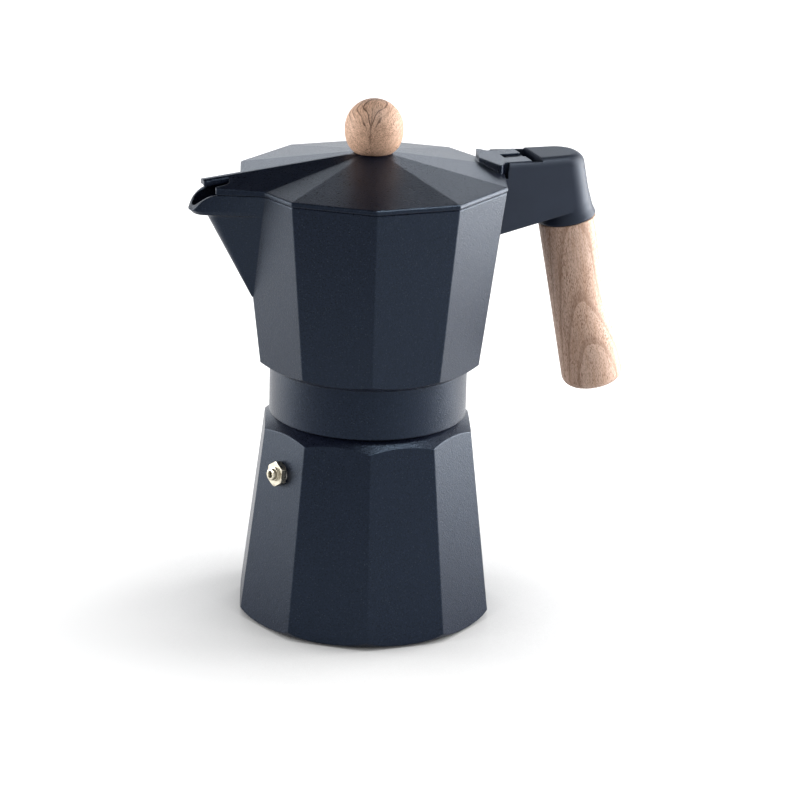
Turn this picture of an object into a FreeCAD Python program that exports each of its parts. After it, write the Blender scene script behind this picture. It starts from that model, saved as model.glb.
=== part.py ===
import FreeCAD, Part
import math
import os

# Stove-top coffee maker in millimetres. The origin is the centre of the foot on the ground,
# +Z is up, the handle points along +X and the spout along -X.

# Length by which a cutting shape runs past the face it cuts
overrun = 1.0

# Ten-sided body
facet_count = 10
edge_round = 1.2
rim_chamfer = 0.5

# Boiler
boiler_foot_radius = 58.4
boiler_top_radius = 47.73
boiler_height = 86.86
boiler_foot_round = 6.5
boiler_wall = 3.2
boiler_floor = 3.5
boiler_inner_round = 4.0
shoulder_rise = 0.67
shoulder_land = 2.5
neck_radius = 38.8
neck_height = 19.1
neck_wall = 3.3
neck_chamfer = 0.8

# Screw thread between neck and collar
thread_lead = 3.0
thread_depth = 1.0
thread_root_width = 1.5
thread_crest_width = 0.7
thread_height = 9.0
thread_clearance = 0.3
thread_sink = 0.4

# Safety valve
valve_height = 71.0
valve_hex_flats = 10.0
valve_hex_length = 2.6
valve_hex_turn = 20.0
valve_face_radius = 5.4
valve_face_slope = 0.5
valve_boss_radius = 3.1
valve_boss_length = 0.9
valve_groove_radius = 2.2
valve_groove_length = 0.35
valve_mouth_radius = 2.6
valve_mouth_length = 1.3
valve_mouth_round = 0.3
valve_bore_radius = 1.45
valve_shank_radius = 4.0
valve_shank_length = 7.0
valve_chamber_radius = 2.5
valve_chamber_depth = 1.9
valve_thread_fit = 0.05
valve_washer_radius = 4.7
valve_washer_thickness = 0.6
retainer_length = 1.8
retainer_hole_radius = 1.4
poppet_head_radius = 2.2
poppet_head_length = 1.5
poppet_stem_radius = 1.0
poppet_recess = 1.4
poppet_travel = 1.0
spring_wire_radius = 0.3
spring_mean_radius = 1.7
spring_turns = 4
spring_clearance = 0.2

# Coffee funnel, its filter, and the filter plate in its gasket
funnel_sheet = 1.2
funnel_bore_gap = 0.7
basket_depth = 22.0
basket_cone_height = 8.0
stem_radius = 5.0
stem_ground_gap = 5.0
filter_thickness = 0.8
filter_hole_radius = 0.8
filter_ring_step = 5.5
filter_edge = 2.5
filter_fit = 0.3
gasket_thickness = 5.0
gasket_width = 7.4
gasket_groove_depth = 1.3
gasket_groove_height = 2.0
gasket_side_gap = 0.4

# Upper pot
collar_radius = 43.56
collar_height = 21.95
collar_gap = 2.7
collar_overlap = 5.0
pot_foot_radius = 50.24
pot_rim_radius = 60.09
pot_height = 79.07
pot_under_rise = 0.57
pot_wall = 2.6
pot_floor = 3.0
pot_dome_rise = 5.0

# Coffee column in the pot
column_height = 56.0
column_foot_radius = 9.0
column_top_radius = 6.5
column_bore_radius = 3.6
column_cap = 3.0
column_outlet_height = 7.0
column_outlet_width = 4.0
column_spigot_radius = 6.0
column_fit = 0.05

# Spout
spout_start_height = 29.0
spout_half_width = 16.8
spout_keel_slope = 0.534
spout_keel_height = 38.5
spout_curl_radius = 3.4
spout_curl_turn = 58.2
spout_lip_reach = 4.0
spout_lip_rise = 0.4
spout_tip_reach = 1.9
spout_tip_rise = 1.7
spout_brow_reach = 0.3
spout_nose_radius = 7.0
spout_side_wall = 1.8
spout_nose_wall = 1.8
spout_floor_wall = 1.5
spout_root_depth = 6.0
spout_channel_depth = 12.0
spout_channel_start = 11.0
spout_lip_drop = 7.4
spout_tip_round = 1.0
spout_rim_round = 12.0
spout_rim_break = 6.3
spout_rim_slope = 1.39

# Lid
lid_overhang = 0.31
lid_rim_thickness = 2.25
lid_rise = 9.74
lid_apex_radius = 7.4
lid_wall = 2.2
ridge_height = 11.0
ridge_slope = 0.104
ridge_fall = 0.327
ridge_flat = 1.0
visor_reach = 77.2
visor_half_width = 2.8
visor_root = 66.2
visor_notch = 66.9
visor_notch_half_width = 6.9
visor_notch_round = 3.0
visor_skirt_reach = 73.7
visor_skirt_half_width = 9.0
visor_skirt_end = 1.3
visor_spout_gap = 0.3

# Hinge
hinge_reach = 66.0
hinge_lift = 1.8
knuckle_radius = 4.5
hinge_pin_radius = 1.5
hinge_pin_fit = 0.05
hinge_gap = 0.4
lug_point = 49.2
lug_wing = 53.6
lug_wing_half_width = 15.8
lug_back = 57.0
tongue_half_width = 11.0
tongue_reach = 3.7
tongue_slot_start = 60.0
tongue_slot_half_width = 3.0
knuckle_bar_half = 4.0
knuckle_bar_drop = 0.8
lug_round = 0.8

# Handle bracket
bracket_front_half_width = 14.0
bracket_rear_radius = 11.2
bracket_cup_radius = 13.3
bracket_cup_height = 14.0
bracket_cup_round = 1.0
bracket_flare = 1.2
bracket_flare_height = 4.0
bracket_flare_round = 6.0
bracket_rear_fullness = 0.97
bracket_top_lift = 5.2
bracket_top_round = 4.0
bracket_wall_foot = 57.6
bracket_wall_start = 59.3
bracket_lower_height = 53.0
bracket_lower_slope = 0.2147
bracket_fit = 0.1
bracket_pocket_end = 74.6
bracket_pin_wall = 0.8

# Bracket screws, in a pad on the inside of the pot
pad_depth = 6.5
pad_half_width = 11.0
pad_half_height = 7.0
pad_drop = 13.0
screw_spacing = 12.0
bracket_screw_radius = 2.0
bracket_screw_length = 18.0
screw_head_radius = 3.6
screw_head_length = 2.4
screw_slot_width = 1.0
screw_slot_depth = 1.0
screw_fit = 0.05

# Beech grip and the screw through it
grip_seat_reach = 92.0
grip_seat_drop = 23.7
grip_tilt = 11.2
grip_length = 79.5
grip_top_radius = 12.9
grip_waist_radius = 11.9
grip_heel_radius = 13.7
grip_waist_station = 36.0
grip_heel_station = 70.0
grip_end_round = 5.0
grip_bore_radius = 3.0
grip_screw_radius = 2.5
grip_screw_head_radius = 4.5
grip_screw_head_length = 4.0
grip_counterbore_radius = 6.5
grip_counterbore_depth = 9.0
grip_washer_radius = 6.0
grip_washer_thickness = 1.2
grip_insert_radius = 4.0
grip_insert_length = 11.0
grip_screw_end_gap = 2.0

# Beech ball on the lid
knob_radius = 12.7
knob_seat_depth = 10.9
knob_fullness = 2.5
knob_insert_radius = 3.4
knob_insert_length = 9.0
knob_screw_radius = 2.0
knob_screw_reach = 8.0
knob_head_radius = 3.6
knob_head_length = 2.6
knob_washer_radius = 5.0
knob_washer_thickness = 1.0

# Heights that follow from the sizes above
half_facet = math.pi / facet_count
neck_top = boiler_height + neck_height
collar_bottom = boiler_height + shoulder_rise * (boiler_top_radius - collar_radius) + collar_gap
collar_top = collar_bottom + collar_height
pot_foot = collar_top + pot_under_rise * (pot_foot_radius - collar_radius)
pot_rim = pot_foot + pot_height
gasket_bottom = neck_top + funnel_sheet
gasket_top = gasket_bottom + gasket_thickness
gasket_outer_radius = neck_radius - gasket_side_gap
gasket_inner_radius = gasket_outer_radius - gasket_width
pot_floor_top = gasket_top + pot_dome_rise + pot_floor
lid_radius = pot_rim_radius + lid_overhang
lid_rim_top = pot_rim + lid_rim_thickness
lid_top = lid_rim_top + lid_rise
ridge_top = lid_rim_top + ridge_height
hinge_height = pot_rim + hinge_lift
lug_top = hinge_height + knuckle_radius
bracket_top = hinge_height + bracket_top_lift
grip_seat_height = pot_rim - grip_seat_drop
neck_bore = neck_radius - neck_wall


def flat_point(height):
    """Mapping from outline coordinates to a level plane at the given height."""
    return lambda a, b: FreeCAD.Vector(a, b, height)


def side_point(y):
    """Mapping from outline coordinates (x, z) to the upright plane at the given y."""
    return lambda a, b: FreeCAD.Vector(a, y, b)


def outline(corners, to_point):
    """Closed wire through corners (a, b) or (a, b, radius); a radius rounds its corner."""
    entries = []
    count = len(corners)
    for index in range(count):
        here = FreeCAD.Vector(corners[index][0], corners[index][1], 0)
        if len(corners[index]) == 2:
            entries.append([here])
            continue
        radius = corners[index][2]
        before = corners[index - 1]
        after = corners[(index + 1) % count]
        back = (FreeCAD.Vector(before[0], before[1], 0) - here).normalize()
        ahead = (FreeCAD.Vector(after[0], after[1], 0) - here).normalize()
        half_angle = back.getAngle(ahead) / 2
        inward = (back + ahead).normalize()
        reach = radius / math.tan(half_angle)
        crown = radius / math.sin(half_angle) - radius
        entries.append([here + back * reach, here + inward * crown, here + ahead * reach])
    edges = []
    for index in range(count):
        spots = [to_point(spot.x, spot.y) for spot in entries[index]]
        if len(spots) == 3:
            edges.append(Part.Arc(*spots).toShape())
        first = entries[(index + 1) % count][0]
        edges.append(Part.LineSegment(spots[-1], to_point(first.x, first.y)).toShape())
    return Part.Wire(edges)


def turned(corners):
    """Solid of revolution about Z from an outline in (radius, height)."""
    face = Part.Face(outline(corners, side_point(0)))
    return face.revolve(FreeCAD.Vector(0, 0, 0), FreeCAD.Vector(0, 0, 1), 360)


def plate(corners, bottom, top):
    """Plan outline raised from one height to another."""
    face = Part.Face(outline(corners, flat_point(bottom)))
    return face.extrude(FreeCAD.Vector(0, 0, top - bottom))


def side_plate(corners, half_width):
    """Outline in (x, z) given a width across Y."""
    face = Part.Face(outline(corners, side_point(-half_width)))
    return face.extrude(FreeCAD.Vector(0, 2 * half_width, 0))


def rod(radius, bottom, top):
    """Upright cylinder on the Z axis."""
    return Part.makeCylinder(radius, top - bottom, FreeCAD.Vector(0, 0, bottom))


def ring(outer, inner, bottom, top):
    """Upright tube on the Z axis."""
    return rod(outer, bottom, top).cut(rod(inner, bottom - overrun, top + overrun))


def block(x_range, half_width, z_range):
    """Box centred on the plane y = 0."""
    corner = FreeCAD.Vector(x_range[0], -half_width, z_range[0])
    return Part.makeBox(x_range[1] - x_range[0], 2 * half_width, z_range[1] - z_range[0], corner)


def facet_wire(radius, height):
    """Ten-sided outline with rounded corners, one of them on +X."""
    corners = []
    for index in range(facet_count):
        angle = 2 * half_facet * index
        corners.append((radius * math.cos(angle), radius * math.sin(angle), edge_round))
    return outline(corners, flat_point(height))


def facet_body(stations):
    """Ten-sided solid through (vertex radius, height) stations."""
    return Part.makeLoft([facet_wire(radius, height) for radius, height in stations], True, True)


def boiler_radius(height):
    """Vertex radius of the boiler at a height."""
    taper = (boiler_foot_radius - boiler_top_radius) / boiler_height
    return boiler_foot_radius - taper * height


def pot_radius(height):
    """Vertex radius of the upper pot at a height."""
    taper = (pot_rim_radius - pot_foot_radius) / pot_height
    return pot_foot_radius + taper * (height - pot_foot)


def thread_ridge(root, clearance, bottom, top):
    """Helical ridge standing on a cylinder of the root radius, grown by a clearance."""
    base = thread_root_width / 2 + clearance
    crest = thread_crest_width / 2 + clearance
    reach = root + thread_depth + clearance
    spots = [(root - thread_sink, -base), (reach, -crest), (reach, crest), (root - thread_sink, base)]
    profile = outline(spots, lambda a, b: FreeCAD.Vector(a, 0, b + bottom))
    path = Part.makeHelix(thread_lead, top - bottom, root)
    path.translate(FreeCAD.Vector(0, 0, bottom))
    return Part.Wire(path.Edges).makePipeShell([profile], True, True)


thread_bottom = neck_top - neck_chamfer - thread_root_width - thread_height


def make_boiler():
    """Ten-sided water chamber with a turned foot and shoulder, and a threaded neck."""
    land_radius = neck_radius + shoulder_land
    shoulder_peak = boiler_height + shoulder_rise * (boiler_top_radius - land_radius)
    outside_shoulder = boiler_height - shoulder_rise * (boiler_foot_radius - boiler_top_radius)
    envelope = turned([
        (0, 0), (boiler_foot_radius, 0, boiler_foot_round), (boiler_foot_radius, outside_shoulder),
        (land_radius, shoulder_peak), (0, shoulder_peak)])
    body = facet_body([(boiler_radius(0), 0), (boiler_radius(shoulder_peak), shoulder_peak)])
    body = body.common(envelope)
    neck = turned([
        (0, boiler_height), (neck_radius, boiler_height), (neck_radius, neck_top - neck_chamfer),
        (neck_radius - neck_chamfer, neck_top), (0, neck_top)])
    ridge = thread_ridge(neck_radius, 0, thread_bottom, thread_bottom + thread_height)
    flat = math.cos(half_facet)
    inner_foot = boiler_radius(boiler_floor) * flat - boiler_wall
    inner_top = boiler_radius(boiler_height) * flat - boiler_wall
    roof = boiler_height + shoulder_rise * (inner_top - neck_bore)
    hollow = turned([
        (0, boiler_floor), (inner_foot, boiler_floor, boiler_inner_round),
        (inner_top, boiler_height - boiler_wall), (neck_bore, roof - boiler_wall),
        (neck_bore, neck_top + overrun), (0, neck_top + overrun)])
    valve_hole = rod(valve_shank_radius + valve_thread_fit, -valve_shank_length, valve_hex_length)
    return body.fuse([neck, ridge]).cut([hollow, on_valve_axis(valve_hole)])


def on_valve_axis(shape):
    """Shape built about Z moved to the valve: its Z runs out of the boiler, square to the facet."""
    angle = math.pi + half_facet
    flat = math.cos(half_facet)
    rise = flat * (boiler_foot_radius - boiler_top_radius) / boiler_height
    outward = FreeCAD.Vector(math.cos(angle), math.sin(angle), rise)
    reach = boiler_radius(valve_height) * flat
    place = FreeCAD.Vector(reach * math.cos(angle), reach * math.sin(angle), valve_height)
    moved = shape.copy()
    moved.Placement = FreeCAD.Placement(place, FreeCAD.Rotation(FreeCAD.Vector(0, 0, 1), outward))
    return moved


valve_hex_top = valve_washer_thickness + valve_hex_length
valve_boss_top = valve_hex_top + valve_boss_length
valve_groove_top = valve_boss_top + valve_groove_length
valve_mouth_top = valve_groove_top + valve_mouth_length
valve_seat = retainer_length - valve_shank_length


def make_valve_body():
    """Brass body: hexagon, boss and mouth outside, shank with the spring chamber inside."""
    corner = valve_hex_flats / 2 / math.cos(math.pi / 6)
    angles = [math.radians(valve_hex_turn + 60 * index) for index in range(6)]
    hexagon = plate([(corner * math.cos(angle), corner * math.sin(angle)) for angle in angles],
                    valve_washer_thickness, valve_hex_top)
    chamfer_drop = valve_face_slope * (corner - valve_face_radius)
    face = turned([(0, valve_washer_thickness), (corner, valve_washer_thickness),
                   (corner, valve_hex_top - chamfer_drop), (valve_face_radius, valve_hex_top),
                   (0, valve_hex_top)])
    mouth = turned([(0, valve_washer_thickness), (valve_boss_radius, valve_washer_thickness),
                    (valve_boss_radius, valve_boss_top), (valve_groove_radius, valve_boss_top),
                    (valve_groove_radius, valve_groove_top), (valve_mouth_radius, valve_groove_top),
                    (valve_mouth_radius, valve_mouth_top, valve_mouth_round), (0, valve_mouth_top)])
    shank = rod(valve_shank_radius, -valve_shank_length, valve_washer_thickness)
    bore = rod(valve_bore_radius, valve_chamber_depth - overrun, valve_mouth_top + overrun)
    chamber = rod(valve_chamber_radius, -valve_shank_length - overrun, valve_chamber_depth)
    return on_valve_axis(hexagon.common(face).fuse([mouth, shank]).cut([bore, chamber]))


def make_valve_washer():
    """Sealing washer between the hexagon and the boiler wall."""
    return on_valve_axis(ring(valve_washer_radius, valve_shank_radius + valve_thread_fit,
                              0, valve_washer_thickness))


def make_valve_retainer():
    """Ring pressed into the shank, with the seat that the poppet closes."""
    return on_valve_axis(ring(valve_chamber_radius, retainer_hole_radius,
                              -valve_shank_length, valve_seat))


def make_valve_poppet():
    """Plunger: a head on the seat and a stem that shows in the mouth."""
    head = rod(poppet_head_radius, valve_seat, valve_seat + poppet_head_length)
    stem = rod(poppet_stem_radius, valve_seat, valve_mouth_top - poppet_recess)
    return on_valve_axis(head.fuse(stem))


def make_valve_spring():
    """Coil round the stem, seated on the outer end of its chamber, clear of the poppet's travel."""
    free_end = valve_seat + poppet_head_length + poppet_travel + spring_clearance
    first = free_end + spring_wire_radius
    last = valve_chamber_depth - spring_wire_radius
    path = Part.makeHelix((last - first) / spring_turns, last - first, spring_mean_radius)
    path.translate(FreeCAD.Vector(0, 0, first))
    start = FreeCAD.Vector(spring_mean_radius, 0, first)
    section = Part.Wire(Part.Circle(start, FreeCAD.Vector(0, 1, 0), spring_wire_radius).toShape())
    return on_valve_axis(Part.Wire(path.Edges).makePipeShell([section], True, True))


basket_radius = neck_bore - funnel_bore_gap
basket_floor = neck_top - basket_depth
funnel_foot = boiler_floor + stem_ground_gap


def make_funnel():
    """Spun sheet basket that hangs by its flange on the neck, with a stem near the floor."""
    inner = basket_radius - funnel_sheet
    stem_inner = stem_radius - funnel_sheet
    cone_bottom = basket_floor - basket_cone_height
    return turned([
        (stem_inner, funnel_foot), (stem_radius, funnel_foot), (stem_radius, cone_bottom),
        (basket_radius, basket_floor), (basket_radius, neck_top), (gasket_outer_radius, neck_top),
        (gasket_outer_radius, gasket_bottom), (inner, gasket_bottom),
        (inner, basket_floor + filter_thickness),
        (inner - filter_edge, basket_floor), (stem_inner, cone_bottom + funnel_sheet)])


def perforated_disc(radius, bottom):
    """Flat disc with rings of small holes."""
    holes = []
    hole_ring = 1
    while filter_ring_step * hole_ring < radius - filter_edge:
        reach = filter_ring_step * hole_ring
        for index in range(6 * hole_ring):
            angle = 2 * math.pi * index / (6 * hole_ring)
            place = FreeCAD.Vector(reach * math.cos(angle), reach * math.sin(angle), bottom - overrun)
            holes.append(Part.makeCylinder(filter_hole_radius, filter_thickness + 2 * overrun, place))
        hole_ring += 1
    return rod(radius, bottom, bottom + filter_thickness).cut(Part.makeCompound(holes))


def make_funnel_filter():
    """Perforated disc on the ledge at the bottom of the basket."""
    return perforated_disc(basket_radius - funnel_sheet - filter_fit, basket_floor + filter_thickness)


groove_bottom = gasket_top - gasket_groove_height
plate_bottom = groove_bottom + (gasket_groove_height - filter_thickness) / 2


def make_gasket():
    """Rubber ring clamped between basket flange and pot, with a groove for the filter plate."""
    groove_radius = gasket_inner_radius + gasket_groove_depth
    body = ring(gasket_outer_radius, gasket_inner_radius, gasket_bottom, gasket_top)
    groove = ring(groove_radius, gasket_inner_radius - overrun,
                  plate_bottom, plate_bottom + filter_thickness)
    return body.cut(groove)


def make_filter_plate():
    """Perforated disc held by its edge in the gasket's groove."""
    return perforated_disc(gasket_inner_radius + gasket_groove_depth - filter_fit, plate_bottom)


def spout_section(half_width, front_x, nose_radius, inner_x, height):
    """Rounded V in plan: straight sides from the pot wall to a nose that ends at front_x."""
    root_x = half_width * math.tan(half_facet) - pot_radius(height)
    apex = front_x
    for _ in range(30):
        half_angle = math.atan2(half_width, root_x - apex)
        apex = front_x - nose_radius * (1 / math.sin(half_angle) - 1)
    spread = half_width * (inner_x - apex) / (root_x - apex)
    return outline([(inner_x, spread), (apex, 0, nose_radius), (inner_x, -spread)], flat_point(height))


spout_start = pot_foot + spout_start_height
spout_root = -(pot_rim_radius - spout_half_width * math.tan(half_facet))
keel_top = spout_start + spout_keel_height


def spout_stations(first_height):
    """Heights of the prow's sections with the x of its nose: keel, forward curl, lip and tip."""
    keel_angle = math.atan(spout_keel_slope)
    edge_x = -pot_radius(spout_start)
    keel_x = edge_x - spout_keel_slope * spout_keel_height
    stations = [(first_height, edge_x - spout_keel_slope * (first_height - spout_start))]
    curl_steps = 5
    for step in range(curl_steps + 1):
        lean = keel_angle + math.radians(spout_curl_turn) * step / curl_steps
        along = spout_curl_radius * (math.cos(keel_angle) - math.cos(lean))
        climb = spout_curl_radius * (math.sin(lean) - math.sin(keel_angle))
        stations.append((keel_top + climb, keel_x - along))
    lip_height, lip_x = stations[-1]
    lip_height += spout_lip_rise
    lip_x -= spout_lip_reach
    stations.append((lip_height, lip_x))
    stations.append((lip_height + spout_tip_rise, lip_x - spout_tip_reach))
    stations.append((pot_rim + spout_floor_wall, lip_x - spout_tip_reach - spout_brow_reach))
    return stations


def spout_body(side_wall, nose_wall, floor_wall, inner_x, first_height):
    """Prow that grows out of the -X edge, through the sections of its stations.

    The three walls are how far the solid stays inside the outer prow; they are zero for the outside.
    """
    wires = []
    for height, front_x in spout_stations(first_height):
        half_width = spout_half_width * (height - spout_start) / (pot_rim - spout_start) - side_wall
        nose = spout_nose_radius * half_width / spout_half_width
        wires.append(spout_section(half_width, front_x + nose_wall, nose, inner_x, height + floor_wall))
    return Part.makeLoft(wires, True, True)


def above_spout_rim():
    """Everything over the spout's rim line, which is level and then bends down to the tip."""
    tip = spout_stations(spout_start)[-1][1]
    turn = tip + spout_rim_break
    low = pot_rim - spout_lip_drop
    far = tip - 2 * spout_half_width
    high = pot_rim + 2 * spout_half_width
    return side_plate([
        (-neck_radius, pot_rim), (turn, pot_rim, spout_rim_round),
        (turn - spout_lip_drop / spout_rim_slope, low, spout_tip_round), (far, low), (far, high),
        (-neck_radius, high)], 2 * spout_half_width)


def make_upper_pot():
    """Coffee chamber with its screw collar, spout and inside pad for the bracket screws."""
    reach = pot_rim_radius + overrun
    under = pot_foot + pot_under_rise * (reach - pot_foot_radius)
    low = collar_top - collar_overlap
    envelope = turned([(0, low), (collar_radius, low), (collar_radius, collar_top),
                       (reach, under), (reach, pot_rim), (0, pot_rim)])
    chamfer_start = pot_rim - rim_chamfer
    shell = facet_body([(pot_radius(low), low), (pot_radius(chamfer_start), chamfer_start),
                        (pot_rim_radius - rim_chamfer, pot_rim)]).common(envelope)
    collar = rod(collar_radius, collar_bottom, pot_floor_top - overrun)
    spout = spout_body(0, 0, 0, spout_root + spout_root_depth, spout_start + overrun)
    body = shell.fuse([collar, spout.cut(above_spout_rim())])
    inset = pot_wall / math.cos(half_facet)
    chamber_top = pot_rim + overrun
    chamber = facet_body([(pot_radius(pot_floor_top) - inset, pot_floor_top),
                          (pot_radius(chamber_top) - inset, chamber_top)])
    channel = spout_body(spout_side_wall, spout_nose_wall, spout_floor_wall,
                         spout_root + spout_channel_depth, spout_start + spout_channel_start)
    socket = rod(neck_radius + thread_clearance, collar_bottom - overrun, gasket_top)
    dome_top = gasket_top + pot_dome_rise
    dome = turned([(0, gasket_top - overrun), (gasket_inner_radius, gasket_top - overrun),
                   (gasket_inner_radius, gasket_top), (column_spigot_radius, dome_top), (0, dome_top)])
    spigot_hole = rod(column_spigot_radius + column_fit, gasket_top, pot_floor_top + overrun)
    turns_below = math.ceil((thread_bottom - collar_bottom) / thread_lead) + 1
    groove = thread_ridge(neck_radius, thread_clearance, thread_bottom - turns_below * thread_lead,
                          thread_bottom + thread_height + thread_lead / 3)
    body = body.cut([chamber, channel, socket, dome, spigot_hole, groove])
    pad = block((pad_face, pot_radius(pad_height)), pad_half_width,
                (pad_height - pad_half_height, pad_height + pad_half_height))
    half_wall = facet_body([(pot_foot_radius - inset / 2, pot_foot), (pot_rim_radius - inset / 2, pot_rim)])
    return body.fuse(pad.common(half_wall)).cut(screw_holes())


pad_height = pot_rim - pad_drop
pad_face = pot_radius(pad_height) - pad_depth


def screw_at(shape, side):
    """Shape built about Z laid along +X at one of the two bracket screws, Z = 0 on the pad."""
    moved = shape.copy()
    place = FreeCAD.Vector(pad_face, side * screw_spacing / 2, pad_height)
    moved.Placement = FreeCAD.Placement(place, FreeCAD.Rotation(FreeCAD.Vector(0, 1, 0), 90))
    return moved


def screw_holes():
    """Clearance holes of both bracket screws, from inside the pot to past their tips."""
    hole = rod(bracket_screw_radius + screw_fit, -overrun, bracket_screw_length + overrun)
    return [screw_at(hole, side) for side in (-1, 1)]


def slotted_head(radius, bottom, top):
    """Screw head with a straight slot across its lower face."""
    slot = block((-radius - overrun, radius + overrun), screw_slot_width / 2,
                 (bottom - overrun, bottom + screw_slot_depth))
    return rod(radius, bottom, top).cut(slot)


def make_bracket_screws():
    """Two slotted screws with their heads on the pad inside the pot."""
    head = slotted_head(screw_head_radius, -screw_head_length, 0)
    screw = head.fuse(rod(bracket_screw_radius, screw_slot_depth - screw_head_length, bracket_screw_length))
    return Part.makeCompound([screw_at(screw, side) for side in (-1, 1)])


def make_column():
    """Tapered riser with a closed cap and two outlets near the top, pressed into the pot floor."""
    top = pot_floor_top + column_height
    body = turned([(0, gasket_top + pot_dome_rise), (column_spigot_radius, gasket_top + pot_dome_rise),
                   (column_spigot_radius, pot_floor_top), (column_foot_radius, pot_floor_top),
                   (column_top_radius, top, column_cap / 2), (0, top)])
    bore = rod(column_bore_radius, gasket_top, top - column_cap)
    outlet_top = top - column_cap
    outlets = block((-2 * column_foot_radius, 2 * column_foot_radius), column_outlet_width / 2,
                    (outlet_top - column_outlet_height, outlet_top))
    return body.cut([bore, outlets])


def gable(drop):
    """Solid under the two planes that fall from the ridge over the spout."""
    half_width = lid_radius
    low = collar_top

    def section(x):
        crest = ridge_top + ridge_slope * x - drop
        eave = crest - ridge_fall * (half_width - ridge_flat)
        return outline([(-half_width, low), (-half_width, eave), (-ridge_flat, crest), (ridge_flat, crest),
                        (half_width, eave), (half_width, low)], lambda a, b: FreeCAD.Vector(x, a, b))

    return Part.makeLoft([section(0), section(-2 * visor_reach)], True, True)


def mirrored_plan(corners):
    """Plan outline from its near half and that half's mirror image across y = 0."""
    return corners + [(entry[0], -entry[1]) + tuple(entry[2:]) for entry in reversed(corners)]


def make_lid():
    """Ten-sided roof with a ridge and visor over the spout, and the hinge lug, one casting."""
    roof = facet_body([
        (lid_radius - rim_chamfer, pot_rim), (lid_radius, pot_rim + rim_chamfer),
        (lid_radius, lid_rim_top - rim_chamfer), (lid_radius - rim_chamfer, lid_rim_top),
        (lid_apex_radius, lid_top)])
    corner_y = spout_half_width + visor_spout_gap
    cover_plan = mirrored_plan([
        (0, corner_y), (spout_root, corner_y), (-visor_skirt_reach, visor_skirt_half_width),
        (-visor_skirt_reach, visor_skirt_half_width - visor_skirt_end),
        (-visor_notch, visor_notch_half_width, visor_notch_round), (-visor_root, visor_half_width),
        (-visor_reach, visor_half_width, lug_round)])
    cover = plate(cover_plan, pot_rim + visor_spout_gap, lid_top).common(gable(0))
    inner_radius = lid_radius - pot_wall - lid_wall
    hollow = facet_body([(inner_radius, pot_rim - overrun), (inner_radius, lid_rim_top - lid_wall),
                         (lid_apex_radius, lid_top - lid_wall)])
    hollow_start = -2 * knob_washer_radius
    hollow_plan = mirrored_plan([
        (hollow_start, ridge_flat + (corner_y - ridge_flat) * hollow_start / spout_root),
        (spout_root, corner_y - lid_wall), (-visor_notch, visor_notch_half_width),
        (-visor_reach - overrun, visor_notch_half_width)])
    cover_hollow = plate(hollow_plan, pot_rim - overrun, ridge_top).common(gable(lid_wall))
    lug_base = pot_rim + lid_rim_thickness / 2
    tongue_end = hinge_reach + tongue_reach
    wings = plate([
        (lug_point, 0), (lug_wing, -lug_wing_half_width, lug_round), (lug_back, -tongue_half_width),
        (tongue_end, -tongue_half_width), (tongue_end, tongue_half_width), (lug_back, tongue_half_width),
        (lug_wing, lug_wing_half_width, lug_round)], lug_base, lug_top)
    knuckle = across(knuckle_radius, -tongue_half_width, tongue_half_width)
    slot = block((tongue_slot_start, hinge_reach + knuckle_radius + overrun), tongue_slot_half_width,
                 (hinge_height - knuckle_radius - overrun, lug_top + overrun))
    slot_round = across(knuckle_radius, -tongue_slot_half_width, tongue_slot_half_width)
    pin_hole = across(hinge_pin_radius + hinge_pin_fit, -tongue_half_width - overrun,
                      tongue_half_width + overrun)
    screw_hole = rod(knob_screw_radius + screw_fit, pot_rim, lid_top + overrun)
    lug = wings.fuse(knuckle)
    solid = roof.fuse(cover).cut([hollow, cover_hollow])
    return solid.fuse(lug).cut([slot, slot_round, pin_hole, screw_hole])


def across(radius, start, end):
    """Cylinder along Y on the hinge axis."""
    return Part.makeCylinder(radius, end - start, FreeCAD.Vector(hinge_reach, start, hinge_height),
                             FreeCAD.Vector(0, 1, 0))


def make_hinge_pin():
    """Plain pin, closed in on one side of the bracket and pressed in flush from the other."""
    return across(hinge_pin_radius, -bracket_front_half_width + 2 * bracket_pin_wall,
                  bracket_front_half_width - bracket_pin_wall)


def on_grip_axis(shape):
    """Shape built about Z moved to the grip: Z = 0 on its top face, +Z up into the bracket."""
    moved = shape.copy()
    place = FreeCAD.Vector(grip_seat_reach, 0, grip_seat_height)
    moved.Placement = FreeCAD.Placement(place, FreeCAD.Rotation(FreeCAD.Vector(0, 1, 0), -grip_tilt))
    return moved


def bracket_wire(height, inset):
    """Plan outline of the bracket: a tapering tongue with a round rear end."""
    lean = math.tan(math.radians(grip_tilt))
    rear = grip_seat_reach - lean * (height - grip_seat_height) + bracket_rear_radius - inset
    side = bracket_rear_radius - inset
    front = bracket_front_half_width - inset
    start = pad_face
    rounding = side * bracket_rear_fullness
    return outline([(start, front), (start, -front), (rear, -side, rounding), (rear, side, rounding)],
                   flat_point(height))


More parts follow.
